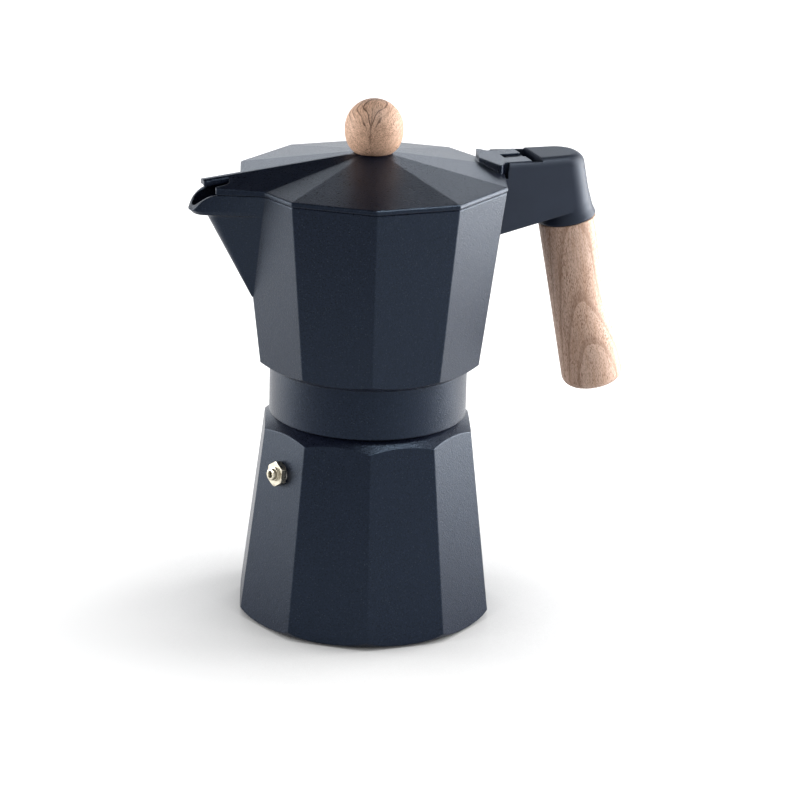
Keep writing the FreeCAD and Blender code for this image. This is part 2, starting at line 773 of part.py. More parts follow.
def make_handle_bracket():
    """Moulded arm from the pot to the grip, with the hinge pocket on top and a round cup below."""
    low = pot_foot
    shoulder = bracket_top - bracket_top_round
    arm = Part.makeLoft([bracket_wire(low, 0), bracket_wire(shoulder, 0)], True, True)
    crown_steps = 5
    crown_wires = []
    for step in range(crown_steps + 1):
        angle = math.pi / 2 * step / crown_steps
        inset = bracket_top_round * (1 - math.cos(angle))
        crown_wires.append(bracket_wire(shoulder + bracket_top_round * math.sin(angle), inset))
    crown = Part.makeLoft(crown_wires, True, False)
    lower_start = pot_foot + bracket_lower_height
    far = grip_seat_reach + 4 * bracket_rear_radius
    lower_end = lower_start + bracket_lower_slope * (far - pot_radius(lower_start))
    below = side_plate([(pad_face - overrun, low - overrun), (far, low - overrun), (far, lower_end),
                        (pad_face - overrun, lower_start)], 2 * bracket_front_half_width)
    cup = on_grip_axis(turned([
        (0, 0), (bracket_cup_radius, 0, bracket_cup_round),
        (bracket_cup_radius - bracket_flare, bracket_flare_height, bracket_flare_round),
        (bracket_rear_radius, bracket_cup_height), (0, bracket_cup_height)]))
    body = arm.fuse(crown).cut(below).fuse(cup)
    high = bracket_top + overrun
    pot_clear = facet_body([(pot_radius(low - overrun) + bracket_fit, low - overrun),
                            (pot_radius(high) + bracket_fit, high)])
    relief = side_plate([
        (pad_face - overrun, pot_rim - hinge_gap), (bracket_wall_foot, pot_rim - hinge_gap),
        (bracket_wall_foot, lid_rim_top + hinge_gap), (bracket_wall_start, high),
        (pad_face - overrun, high)], 2 * bracket_front_half_width)
    pocket_floor = hinge_height - math.hypot(tongue_reach, knuckle_radius) - hinge_gap
    pocket = block((pad_face - overrun, bracket_pocket_end), tongue_half_width + hinge_gap,
                   (pocket_floor, high))
    bar = block((hinge_reach - knuckle_bar_half, hinge_reach + knuckle_bar_half),
                tongue_slot_half_width - hinge_gap,
                (pocket_floor - overrun, lug_top - knuckle_bar_drop))
    pin_hole = across(hinge_pin_radius + hinge_pin_fit, 2 * bracket_pin_wall - bracket_front_half_width,
                      bracket_front_half_width + overrun)
    insert_hole = on_grip_axis(rod(grip_insert_radius + screw_fit, -overrun, grip_insert_length))
    body = body.cut([pot_clear, relief, pocket]).fuse(bar)
    return body.cut([pin_hole, insert_hole] + screw_holes())


def grip_radius(station):
    """Section radius of the grip at a distance below its top, through waist and heel."""
    if station <= grip_waist_station:
        part = station / grip_waist_station
        low, high = grip_top_radius, grip_waist_radius
    else:
        part = min((station - grip_waist_station) / (grip_heel_station - grip_waist_station), 1)
        low, high = grip_waist_radius, grip_heel_radius
    return low + (high - low) * (1 - math.cos(math.pi * part)) / 2


def make_grip():
    """Beech handle: straight on the hand side, waisted and heeled on the outside."""
    wires = []
    stations = 9
    for index in range(stations + 1):
        station = grip_length * index / stations
        radius = grip_radius(station)
        centre = FreeCAD.Vector(radius - grip_top_radius, 0, -station)
        wires.append(Part.Wire(Part.Circle(centre, FreeCAD.Vector(0, 0, 1), radius).toShape()))
    body = Part.makeLoft(wires, True, False)
    end_edges = [edge for edge in body.Edges if edge.CenterOfMass.z < grip_end_round - grip_length]
    body = body.makeFillet(grip_end_round, end_edges)
    bore = rod(grip_bore_radius, -grip_length - overrun, overrun)
    counterbore = rod(grip_counterbore_radius, -grip_length - overrun, grip_counterbore_depth - grip_length)
    return on_grip_axis(body.cut([bore, counterbore]))


grip_head_seat = grip_counterbore_depth - grip_length - grip_washer_thickness


def make_grip_washer():
    """Washer at the bottom of the grip's counterbore."""
    return on_grip_axis(ring(grip_washer_radius, grip_bore_radius, grip_head_seat,
                             grip_head_seat + grip_washer_thickness))


def make_grip_screw():
    """Long slotted screw up through the grip into the insert."""
    head = slotted_head(grip_screw_head_radius, grip_head_seat - grip_screw_head_length, grip_head_seat)
    shank = rod(grip_screw_radius, grip_head_seat - overrun, grip_insert_length - grip_screw_end_gap)
    return on_grip_axis(head.fuse(shank))


def make_grip_insert():
    """Threaded metal insert moulded into the bracket's cup."""
    return on_grip_axis(ring(grip_insert_radius, grip_screw_radius + screw_fit, 0, grip_insert_length))


knob_centre = lid_top + knob_seat_depth


def make_lid_knob():
    """Beech ball, fuller below its middle, with a flat seat on the lid and drilled for its insert."""
    equator = FreeCAD.Vector(knob_radius, 0, knob_centre)
    pole = FreeCAD.Vector(0, 0, knob_centre + knob_radius)
    half_way = FreeCAD.Vector(knob_radius * math.sin(math.pi / 4), 0,
                              knob_centre + knob_radius * math.cos(math.pi / 4))
    steps = 8
    spots = []
    for step in range(steps + 1):
        drop = knob_seat_depth / knob_radius * step / steps
        radius = knob_radius * (1 - drop ** knob_fullness) ** (1 / knob_fullness)
        spots.append(FreeCAD.Vector(radius, 0, knob_centre - knob_radius * drop))
    lower = Part.BSplineCurve()
    lower.interpolate(spots)
    seat = FreeCAD.Vector(0, 0, lid_top)
    edges = [Part.Arc(pole, half_way, equator).toShape(), lower.toShape(),
             Part.LineSegment(spots[-1], seat).toShape(), Part.LineSegment(seat, pole).toShape()]
    ball = Part.Face(Part.Wire(edges)).revolve(seat, FreeCAD.Vector(0, 0, 1), 360)
    hole = rod(knob_insert_radius + screw_fit, lid_top - overrun, lid_top + knob_insert_length)
    return ball.cut(hole)


def make_knob_insert():
    """Threaded insert in the ball."""
    return ring(knob_insert_radius, knob_screw_radius + screw_fit, lid_top, lid_top + knob_insert_length)


knob_washer_top = lid_top - lid_wall


def make_knob_washer():
    """Washer under the lid."""
    return ring(knob_washer_radius, knob_screw_radius + screw_fit,
                knob_washer_top - knob_washer_thickness, knob_washer_top)


def make_knob_screw():
    """Screw from under the lid into the ball."""
    seat = knob_washer_top - knob_washer_thickness
    head = slotted_head(knob_head_radius, seat - knob_head_length, seat)
    return head.fuse(rod(knob_screw_radius, seat - overrun, lid_top + knob_screw_reach))


pieces = {
    "boiler": make_boiler,
    "valve_body": make_valve_body,
    "valve_washer": make_valve_washer,
    "valve_retainer": make_valve_retainer,
    "valve_poppet": make_valve_poppet,
    "valve_spring": make_valve_spring,
    "funnel": make_funnel,
    "funnel_filter": make_funnel_filter,
    "gasket": make_gasket,
    "filter_plate": make_filter_plate,
    "upper_pot": make_upper_pot,
    "column": make_column,
    "handle_bracket": make_handle_bracket,
    "bracket_screws": make_bracket_screws,
    "grip": make_grip,
    "grip_screw": make_grip_screw,
    "grip_washer": make_grip_washer,
    "grip_insert": make_grip_insert,
    "hinge_pin": make_hinge_pin,
    "lid": make_lid,
    "lid_knob": make_lid_knob,
    "knob_insert": make_knob_insert,
    "knob_screw": make_knob_screw,
    "knob_washer": make_knob_washer,
}

os.makedirs("parts", exist_ok=True)
for name, make in pieces.items():
    shape = make()
    solids = shape.Solids
    print(name, len(solids), shape.isValid(), round(sum(solid.Volume for solid in solids), 1))
    kept = solids[0] if len(solids) == 1 else Part.makeCompound(solids)
    kept.exportStep("parts/" + name + ".step")
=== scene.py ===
import math
import bpy
import numpy as np
from mathutils import Matrix, Vector


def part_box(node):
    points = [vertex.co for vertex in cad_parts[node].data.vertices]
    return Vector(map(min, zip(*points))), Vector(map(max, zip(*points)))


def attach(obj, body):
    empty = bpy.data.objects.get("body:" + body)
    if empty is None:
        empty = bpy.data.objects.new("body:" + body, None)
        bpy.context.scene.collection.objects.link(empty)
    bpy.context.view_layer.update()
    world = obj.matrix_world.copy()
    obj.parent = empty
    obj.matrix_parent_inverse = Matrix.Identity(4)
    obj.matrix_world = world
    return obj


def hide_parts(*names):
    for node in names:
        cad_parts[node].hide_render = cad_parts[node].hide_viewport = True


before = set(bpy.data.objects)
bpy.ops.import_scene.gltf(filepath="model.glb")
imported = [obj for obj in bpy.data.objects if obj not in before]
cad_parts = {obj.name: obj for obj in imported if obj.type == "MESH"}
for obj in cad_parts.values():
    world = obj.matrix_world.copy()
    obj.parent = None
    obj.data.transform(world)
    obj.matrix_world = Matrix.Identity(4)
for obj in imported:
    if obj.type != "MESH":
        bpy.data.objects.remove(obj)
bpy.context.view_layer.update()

bl_info = {
    "name": "Moka pot looks",
    "version": (1, 0, 0),
    "blender": (4, 5, 0),
    "location": "View3D > Sidebar > Moka pot",
    "description": "Finishes, turned pieces and studio of a ten-sided moka pot with a beech grip",
    "category": "Object",
}

WHITE = (1, 1, 1)
COAT_SHEEN = (0.54, 0.74, 1, 1)
BRACKET_SHEEN = (0.7, 0.82, 1, 1)
SHARP_ANGLE = math.radians(32)
# Period of the wave texture at a scale of 1.
WAVE_PERIOD = 0.31416

# Fineness of each finish in cells to the metre, and depth of its relief and easing of its edges in metres.
COAT_CLOUDS, COAT_GRAINS, COAT_SPECKS = 60, 1500, 1300
COAT_RELIEF, COAT_EDGE = 0.00013, 0.0008
BRACKET_CLOUDS, BRACKET_GRAINS = 90, 2600
BRACKET_RELIEF, BRACKET_EDGE = 0.00002, 0.0009
METAL_CLOUDS, METAL_RELIEF = 140, 0.00002
RUBBER_MOTTLES, RUBBER_RELIEF = 420, 0.00004
FLOOR_CLOUDS = 30
# The same for beech, across the grain twice and then along it.
WOOD_WANDER = (70, 70, 16)
WOOD_STREAKS = (620, 620, 12)
WOOD_PATCHES = (160, 160, 60)
WOOD_PORES = (3900, 3900, 800)
WOOD_RELIEF = 0.00006
# How much longer a ray fleck is than it is wide.
FLECK_STRETCH = 5

# Y-shaped figure of the ball, in metres in the grain's axes: Z runs along the grain and Y across it.
FIGURE_LEAN = 0.75
FIGURE_STRETCH = 24.0
FIGURE_PULL = 0.8
FIGURE_PULL_WIDTH = 0.0026
FIGURE_PULL_FROM, FIGURE_PULL_TO = 0.001, -0.004
POINT_WIDTH, POINT_FADE = 0.0034, 0.0046
POINT_END, POINT_START = -0.0088, -0.0076
ARCS_END, ARCS_START = -0.0055, -0.001
ARCS_SIDE, ARCS_SIDE_FADE = 0.0015, 0.005
SEAM_WAVER = 0.0014
SEAM_WIDTH, SEAM_FADE = 0.0001, 0.0004
SEAM_END, SEAM_START = -0.0138, -0.0112

# The valve's place on the boiler, in metres, and its direction out of the facet.
VALVE_SEAT = np.array([-0.0449335, -0.0145998, 0.071])
VALVE_AXIS = np.array([-0.94463171, -0.30692945, 0.11603984])
# Radius and height of the valve's section in millimetres, from its mouth down the outside and back up.
VALVE_SECTION = np.array([
    (2.3, 5.75), (2.5, 5.67), (2.6, 5.45), (2.6, 4.6), (2.5, 4.45), (2.2, 4.45), (2.2, 4.1),
    (2.9, 4.1), (3.05, 4.03), (3.1, 3.88), (3.1, 3.32), (3.2, 3.2), (4.4, 3.2),
    (5.3, 3.2), (5.45, 3.14), (9, 1.4), (9, 0.75), (5.45, 0.6), (4, 0.6), (4, -6.6), (3.7, -7),
    (2.5, -7), (2.5, 1.9), (1.45, 1.9), (1.45, 5.5), (1.65, 5.75)])

POT_MIDDLE = (0, 0, 0.12)
# Name, place, target, size, power setting and colour of each lamp.
LAMPS = (
    ("lamp_right", (0.66, -0.02, 0.32), POT_MIDDLE, (0.56, 0.5), "right_power", WHITE),
    ("lamp_low", (0.56, 0.0, 0.085), (0, 0, 0.085), (0.4, 0.16), "low_power", WHITE),
    ("lamp_left", (-0.56, 0.37, 0.22), POT_MIDDLE, (0.45, 0.4), "left_power", WHITE),
    ("lamp_back", (0.75, 2.0, 0.76), POT_MIDDLE, (2.4, 0.6), "back_power", (0.76, 0.86, 1)),
    ("lamp_edge", (0.19, -0.30, 0.97), POT_MIDDLE, (0.5, 0.12), "edge_power", WHITE),
)
FLOOR_HEIGHT = -0.0002
FLOOR_HALF_WIDTH = 6
# The floor's painted shadow round the pot, from ambient occlusion that darkens its white glow: its reach in
# metres, and the power that deepens it.
PAINTED_SHADOW_REACH, PAINTED_SHADOW_DEPTH = 0.17, 1.9
# Distances from the pot, in metres, between which the floor's glow grows, and its share at the nearer: painted
# shade that darkens the floor near the pot.
GLOW_NEAR, GLOW_FAR, GLOW_SHARE = 0.1, 0.42, 0.78
# Level direction to the left front, and the metres along it between which the glow fades to a share: painted
# shade, so the coat's facets reflect a darker floor there.
LEFT_FRONT = (-0.836, -0.558, 0)
FADE_START, FADE_END, FADE_SHARE = 0.24, 0.38, 0.2
# Level direction away from the camera, and how far along it a ray of the front fill may point.
AWAY = (0.35, 0.937, 0)
FRONT_NONE, FRONT_FULL = 0.1, -0.3
# Height of a ray at which the white band and the front fill end and are full.
BAND_END, BAND_FULL = 0.46, 0.33
FILL_END, FILL_FULL = 0.85, 0.6

CAMERA_PLACE = (-0.49921, -1.37579, 0.59070)
CAMERA_RIGHT = (0.93934, -0.34199, 0.02581)
CAMERA_UP = (0.08653, 0.30914, 0.94707)
CAMERA_BACK = (-0.33186, -0.88740, 0.31998)
CAMERA_LENS = 157.063
CAMERA_SENSOR = 36
CAMERA_REACH = 50


def colour_property(name, description, default):
    """Colour a user may change."""
    return bpy.props.FloatVectorProperty(
        name=name, description=description, default=default, size=3, min=0, max=1, subtype="COLOR")


def length_property(name, description, millimetres):
    """Length a user may change, given in millimetres and kept in metres."""
    return bpy.props.FloatProperty(
        name=name, description=description, default=millimetres / 1000, min=0, precision=5,
        subtype="DISTANCE", unit="LENGTH")


def angle_property(name, description, degrees):
    """Angle a user may change, given in degrees and kept in radians."""
    return bpy.props.FloatProperty(
        name=name, description=description, default=math.radians(degrees), subtype="ANGLE", unit="ROTATION")


def power_property(name, description, watts):
    """Power of a lamp that a user may change."""
    return bpy.props.FloatProperty(name=name, description=description, default=watts, min=0, unit="POWER")


class MokaFinish(bpy.types.PropertyGroup):
    """Colours and finishes of the pot."""

    coat: colour_property("Coat", "Powder coat on boiler, pot and lid", (0.0032, 0.0042, 0.0095))
    coat_speck: colour_property("Coat specks", "Tiny pale specks in the coat", (0.045, 0.052, 0.068))
    coat_roughness: bpy.props.FloatProperty(
        name="Coat roughness", description="Roughness of the powder coat", default=0.31,
        min=0, max=1, subtype="FACTOR")
    bracket: colour_property("Bracket", "Moulded handle bracket", (0.009, 0.0125, 0.023))
    wood_pale: colour_property("Grip wood", "Early wood of the grip", (0.76, 0.55, 0.44))
    ball_pale: colour_property("Ball wood", "Early wood of the ball", (0.88, 0.57, 0.40))
    wood_tan: colour_property("Tan wood", "Late wood of the beech", (0.53, 0.33, 0.225))
    wood_fleck: colour_property("Wood flecks", "Rays that show as short dark dashes", (0.25, 0.125, 0.075))
    brass: colour_property("Brass", "Valve and inserts", (0.56, 0.52, 0.42))
    steel: colour_property("Steel", "Screws, washers, pin and spring", (0.58, 0.58, 0.60))
    aluminium: colour_property("Aluminium", "Funnel, filters and column", (0.70, 0.70, 0.71))
    rubber: colour_property("Rubber", "Gasket and valve washer", (0.62, 0.60, 0.55))


class MokaSizes(bpy.types.PropertyGroup):
    """Sizes of the turned pieces."""

    ball_seat: length_property("Ball seat", "Height of the ball's middle over its seat", 10.9)
    ball_fullness: bpy.props.FloatProperty(
        name="Ball fullness", description="Exponent of the ball's lower half; 2 is round", default=2.5,
        min=2, max=4)
    ball_hole: length_property("Ball hole", "Radius of the hole for the insert", 3.45)
    ball_hole_depth: length_property("Ball hole depth", "Depth of the hole for the insert", 9)
    ball_ease: length_property("Ball edges", "Easing of the ball's edges", 0.4)
    grip_reach: length_property("Grip reach", "Distance of the grip's top from the pot's axis", 92)
    grip_height: length_property("Grip height", "Height of the grip's top over the ground", 173.4815)
    grip_tilt: angle_property("Grip tilt", "Lean of the grip away from the pot", 11.2)
    grip_length: length_property("Grip length", "Length of the grip along its axis", 79.5)
    grip_top: length_property("Grip top", "Radius of the grip at the bracket", 12.9)
    grip_waist: length_property("Grip waist", "Radius of the grip at its waist", 11.9)
    grip_heel: length_property("Grip heel", "Radius of the grip at its heel", 13.7)
    waist_station: length_property("Waist station", "Distance of the waist below the top", 36)
    heel_station: length_property("Heel station", "Distance of the heel below the top", 70)
    grip_end: length_property("Grip end", "Rounding of the grip's lower end", 5)
    grip_ease: length_property("Grip edges", "Easing of the grip's other edges", 0.5)
    counterbore: length_property("Counterbore", "Radius of the recess for the screw head", 6.5)
    counterbore_depth: length_property("Counterbore depth", "Depth of that recess", 9)
    grip_bore: length_property("Grip bore", "Radius of the screw's hole", 3)
    hexagon: length_property("Valve hexagon", "Width of the valve across its flats", 10)
    hexagon_turn: angle_property("Hexagon turn", "Turn of the hexagon on its axis", 20)


class MokaStudio(bpy.types.PropertyGroup):
    """Floor, backdrop and lamps."""

    floor: colour_property("Floor", "Pale floor", (0.42, 0.42, 0.42))
    right_power: power_property("Right lamp", "Power of the large lamp on the handle side", 8.5)
    left_power: power_property("Left lamp", "Power of the large lamp on the spout side", 4.5)
    low_power: power_property("Low lamp", "Power of the low strip lamp on the handle side", 1.8)
    back_power: power_property("Back lamp", "Power of the wide low lamp behind", 9)
    edge_power: power_property("Edge lamp", "Power of the strip overhead that draws the edges", 10)
    fill: bpy.props.FloatProperty(
        name="Fill", description="Soft light from the front", default=1.0, min=0)


def finish():
    """Finish settings of the scene."""
    return bpy.context.scene.moka_finish


def sizes():
    """Size settings of the scene."""
    return bpy.context.scene.moka_sizes


def studio():
    """Studio settings of the scene."""
    return bpy.context.scene.moka_studio


class Nodes:
    """Node tree whose nodes are added one at a time and linked by name."""

    def __init__(self, tree):
        self.tree = tree

    def node(self, kind, values=None, **settings):
        """New node; values go to its inputs, and a socket given as a value is linked."""
        made = self.tree.nodes.new(kind)
        for key, value in settings.items():
            setattr(made, key, value)
        for key, value in (values or {}).items():
            self.feed(made.inputs[key], value)
        return made

    def feed(self, socket, value):
        """Links a socket to another, or sets its value."""
        if isinstance(value, bpy.types.NodeSocket):
            self.tree.links.new(value, socket)
        else:
            socket.default_value = value

    def span(self, value, low, high, start=0.0, end=1.0, blend="LINEAR"):
        """Value stretched from low..high to start..end and held there."""
        return self.node("ShaderNodeMapRange", {
            "Value": value, "From Min": low, "From Max": high, "To Min": start, "To Max": end},
            interpolation_type=blend).outputs[0]

    def calc(self, operation, first, second=0.0):
        """Arithmetic on two values."""
        return self.node("ShaderNodeMath", {0: first, 1: second}, operation=operation).outputs[0]

    def product(self, *values):
        """All the values multiplied."""
        total = values[0]
        for value in values[1:]:
            total = self.calc("MULTIPLY", total, value)
        return total

    def along(self, vector, direction):
        """Length of a vector along a direction."""
        return self.node("ShaderNodeVectorMath", {0: vector, 1: direction},
                         operation="DOT_PRODUCT").outputs["Value"]


class Shade(Nodes):
    """Material on Object coordinates."""

    def __init__(self, name):
        self.material = bpy.data.materials.new(name)
        self.material.use_nodes = True
        super().__init__(self.material.node_tree)
        self.surface = self.tree.nodes["Principled BSDF"]
        self.coordinates = self.tree.nodes.new("ShaderNodeTexCoord").outputs["Object"]

    def set(self, **values):
        """Feeds inputs of the surface; an underscore in a name stands for a space."""
        for key, value in values.items():
            self.feed(self.surface.inputs[key.replace("_", " ")], value)

    def place(self, scale, turn=(0, 0, 0), shift=(0, 0, 0)):
        """Object coordinates seen from a point, in turned axes, with so many units to the metre."""
        return self.node("ShaderNodeMapping", {
            "Vector": self.coordinates, "Location": shift, "Rotation": turn,
            "Scale": tuple(1 / value for value in scale)}, vector_type="TEXTURE").outputs[0]

    def noise(self, vector, detail=2.0, roughness=0.5):
        """Smooth noise from 0 to 1."""
        return self.node("ShaderNodeTexNoise", {
            "Vector": vector, "Scale": 1.0, "Detail": detail, "Roughness": roughness}).outputs[0]

    def spread(self, noise, start=0.0, end=1.0):
        """Noise stretched from its usual range, 0.3 to 0.7, to start..end."""
        return self.span(noise, 0.3, 0.7, start, end)

    def mix(self, factor, first, second):
        """Colour between two others, each a socket or its red, green and blue."""
        made = self.node("ShaderNodeMix", {0: factor}, data_type="RGBA")
        for index, value in ((6, first), (7, second)):
            self.feed(made.inputs[index], (*value, 1) if isinstance(value, tuple) else value)
        return made.outputs[2]

    def relief(self, height, distance, strength=1.0, edge=0.0):
        """Bump from a height map, distance in metres, over edges that are eased by a small radius."""
        bump = self.node("ShaderNodeBump", {"Height": height, "Distance": distance, "Strength": strength})
        if edge:
            eased = self.node("ShaderNodeBevel", {"Radius": edge}, samples=6)
            self.feed(bump.inputs["Normal"], eased.outputs[0])
        self.set(Normal=bump.outputs[0])


def even(scale):
    """The same scale on all three axes."""
    return (scale, scale, scale)


def tint(colour, factor):
    """Colour made lighter or darker."""
    return tuple(min(1, channel * factor) for channel in colour)


def coat_material():
    """Powder coat: dark, with a fine grain and scattered tiny pale specks."""
    shade = Shade("powder_coat")
    colour = tuple(finish().coat)
    cloud = shade.noise(shade.place(even(COAT_CLOUDS)), 3)
    grain = shade.noise(shade.place(even(COAT_GRAINS)), 3, 0.65)
    cells = shade.node("ShaderNodeTexVoronoi", {
        "Vector": shade.place(even(COAT_SPECKS)), "Scale": 1.0, "Randomness": 1.0})
    near = shade.span(cells.outputs["Distance"], 0.22, 0.36, 1, 0)
    chosen = shade.node("ShaderNodeSeparateColor", {"Color": cells.outputs["Color"]}).outputs[0]
    speck = shade.product(near, shade.span(chosen, 0.72, 0.98), 0.6)
    body = shade.mix(shade.spread(cloud), tint(colour, 0.85), tint(colour, 1.1))
    body = shade.mix(shade.span(grain, 0.4, 0.7, 0, 0.8), body, tint(colour, 3.6))
    body = shade.mix(speck, body, tuple(finish().coat_speck))
    rough = finish().coat_roughness
    shade.set(Base_Color=body, Roughness=shade.spread(grain, rough - 0.06, rough + 0.08),
              Specular_IOR_Level=0.33, Specular_Tint=COAT_SHEEN)
    shade.relief(grain, COAT_RELIEF, 1.0, COAT_EDGE)
    return shade.material


def bracket_material():
    """Moulded bracket: smooth satin plastic with a faint mould texture."""
    shade = Shade("moulded_satin")
    colour = tuple(finish().bracket)
    cloud = shade.noise(shade.place(even(BRACKET_CLOUDS)), 3)
    grain = shade.noise(shade.place(even(BRACKET_GRAINS)), 2, 0.55)
    body = shade.mix(shade.spread(cloud), tint(colour, 0.9), tint(colour, 1.12))
    shade.set(Base_Color=body, Roughness=shade.spread(grain, 0.44, 0.54),
              Specular_IOR_Level=0.3, Specular_Tint=BRACKET_SHEEN)
    shade.relief(grain, BRACKET_RELIEF, 0.4, BRACKET_EDGE)
    return shade.material


def grain_axes(outward, along):
    """Turn of the axes whose Z follows the grain and whose X lies as near outward as it can."""
    grain = Vector(along).normalized()
    side = grain.cross(Vector(outward)).normalized()
    return Matrix((side.cross(grain), side, grain)).transposed().to_euler()


def figure_bend(shade, x, y, z):
    """Bends the ring field of the ball, and returns its depth, its sideways place and the part below.

    The rings lean to one side above the pith's height, are drawn out along the grain, and are pulled
    into points below that height.
    """
    sideways = shade.calc("SUBTRACT", y, shade.product(shade.calc("MAXIMUM", z, 0.0), FIGURE_LEAN))
    below = shade.span(z, FIGURE_PULL_FROM, FIGURE_PULL_TO)
    near = shade.calc("MINIMUM", shade.calc("ABSOLUTE", sideways), FIGURE_PULL_WIDTH)
    depth = shade.calc("SUBTRACT", x, shade.product(near, below, FIGURE_PULL))
    return shade.calc("ADD", depth, shade.product(z, z, FIGURE_STRETCH)), sideways, below


def figure_lines(shade, line, place, y, z, sideways, below):
    """Keeps the ring lines near the points and on the upper left, and adds the dark seam below them."""
    point = shade.product(shade.span(shade.calc("ABSOLUTE", sideways), POINT_WIDTH, POINT_FADE, 1, 0),
                          shade.span(z, POINT_END, POINT_START))
    arcs = shade.product(shade.span(z, ARCS_END, ARCS_START),
                         shade.span(y, ARCS_SIDE, ARCS_SIDE_FADE, 1, 0.2))
    waver = shade.span(shade.noise(place(even(260))), 0, 1, -SEAM_WAVER, SEAM_WAVER)
    off_seam = shade.calc("ABSOLUTE", shade.calc("ADD", y, waver))
    seam = shade.product(shade.span(off_seam, SEAM_WIDTH, SEAM_FADE, 0.7, 0),
                         below, shade.span(z, SEAM_END, SEAM_START))
    return shade.calc("MAXIMUM", shade.product(line, shade.calc("MAXIMUM", point, arcs)), seam)


def beech_material(name, pale, pith, turn, spacing, line_strength, fleck_size, figured=False):
    """Beech: growth rings round a pith line, fine streaks, and dense short ray flecks along the grain.

    The rings are at whole spacings from the pith line. A figured piece has them bent to a Y.
    """
    shade = Shade(name)
    tan = tuple(finish().wood_tan)
    brown = tuple(finish().wood_fleck)

    def place(scale):
        """Coordinates along the grain, seen from the pith."""
        return shade.place(scale, turn, pith)

    x, y, z = shade.node("ShaderNodeSeparateXYZ", {0: place(even(1))}).outputs
    depth, sideways, below = figure_bend(shade, x, y, z) if figured else (x, y, None)
    bent = shade.node("ShaderNodeCombineXYZ", {"X": depth, "Y": sideways, "Z": shade.product(z, 0.2)})
    rings = shade.node("ShaderNodeTexWave", {
        "Vector": bent.outputs[0], "Scale": WAVE_PERIOD / spacing, "Distortion": 1.1, "Detail": 2.0,
        "Detail Scale": 0.9}, wave_type="RINGS", rings_direction="Z", wave_profile="SAW").outputs["Fac"]
    wander = shade.noise(place(WOOD_WANDER))
    streak = shade.noise(place(WOOD_STREAKS), 3, 0.65)
    patchy = shade.span(shade.noise(place(WOOD_PATCHES)), 0.35, 0.65, 0.45, 1)
    across = 1 / fleck_size
    fleck_field = shade.noise(place((across, across, across / FLECK_STRETCH)), 1.5, 0.55)
    fleck = shade.product(shade.span(fleck_field, 0.52, 0.60), patchy)
    pore = shade.span(shade.noise(place(WOOD_PORES), 1), 0.5, 0.66)
    line = shade.product(shade.span(rings, 0.74, 0.86), shade.span(streak, 0.3, 0.55, 0.6, 1), line_strength)
    if figured:
        line = figure_lines(shade, line, place, y, z, sideways, below)
    body = shade.mix(shade.spread(wander), pale, tint(pale, 0.8))
    body = shade.mix(shade.span(rings, 0.3, 1.0, 0, 0.45), body, tan)
    body = shade.mix(shade.span(streak, 0.42, 0.7, 0, 0.7), body, tan)
    body = shade.mix(line, body, tint(brown, 0.5))
    body = shade.mix(shade.product(pore, 0.38), body, brown)
    body = shade.mix(shade.product(fleck, 0.85), body, brown)
    shade.set(Base_Color=body, Roughness=shade.span(fleck, 0, 1, 0.56, 0.68), Specular_IOR_Level=0.3)
    shade.relief(shade.calc("SUBTRACT", streak, fleck), WOOD_RELIEF, 0.35)
    return shade.material


def metal_material(name, colour, roughness, stretch):
    """Bare metal: fine machining lines and a slightly uneven tone."""
    shade = Shade(name)
    lines = shade.noise(shade.place(stretch), 2, 0.6)
    cloud = shade.noise(shade.place(even(METAL_CLOUDS)), 3)
    body = shade.mix(shade.spread(cloud), tint(colour, 0.86), tint(colour, 1.05))
    shade.set(Base_Color=body, Metallic=1.0,
              Roughness=shade.spread(lines, roughness - 0.06, roughness + 0.08))
    shade.relief(lines, METAL_RELIEF, 0.3)
    return shade.material


def rubber_material():
    """Silicone rubber: matte, with a faint dusty mottling."""
    shade = Shade("silicone")
    colour = tuple(finish().rubber)
    mottle = shade.noise(shade.place(even(RUBBER_MOTTLES)), 4, 0.6)
    body = shade.mix(shade.spread(mottle), tint(colour, 0.9), tint(colour, 1.06))
    shade.set(Base_Color=body, Roughness=shade.spread(mottle, 0.5, 0.62))
    shade.relief(mottle, RUBBER_RELIEF, 0.3)
    return shade.material


def dress(material, names):
    """Puts a material into the slots of CAD nodes."""
    for name in names:
        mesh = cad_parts[name].data
        mesh.materials.clear()
        mesh.materials.append(material)


def link(mesh):
    """Object of a mesh, at the origin."""
    made = bpy.data.objects.new(mesh.name, mesh)
    bpy.context.scene.collection.objects.link(made)
    return made


def mesh_of(name, points, faces):
    """Smooth mesh of points and faces."""
    mesh = bpy.data.meshes.new(name)
    mesh.from_pydata(points.tolist(), [], faces)
    mesh.polygons.foreach_set("use_smooth", np.ones(len(faces), bool))
    return mesh


def skin(name, rings, poles=None):
    """Mesh through rings of points shaped (rows, columns, 3), listed from the top down the outside.

    Neighbouring rings are joined by four-sided faces. Two poles close the first and last ring with fans;
    without them the last ring joins the first again.
    """
    rows, columns = rings.shape[:2]
    index = np.arange(rows * columns).reshape(rows, columns)
    here, below = (index, np.roll(index, -1, 0)) if poles is None else (index[:-1], index[1:])
    quads = np.stack([here, below, np.roll(below, -1, 1), np.roll(here, -1, 1)], -1).reshape(-1, 4)
    points = rings.reshape(-1, 3)
    faces = quads.tolist()
    if poles is not None:
        points = np.vstack([points, poles])
        first, last = np.full(columns, rows * columns), np.full(columns, rows * columns + 1)
        faces += np.stack([first, index[0], np.roll(index[0], -1)], -1).tolist()
        faces += np.stack([last, np.roll(index[-1], -1), index[-1]], -1).tolist()
    mesh = mesh_of(name, points, faces)
    mesh.set_sharp_from_angle(angle=SHARP_ANGLE)
    mesh.validate()
    return mesh


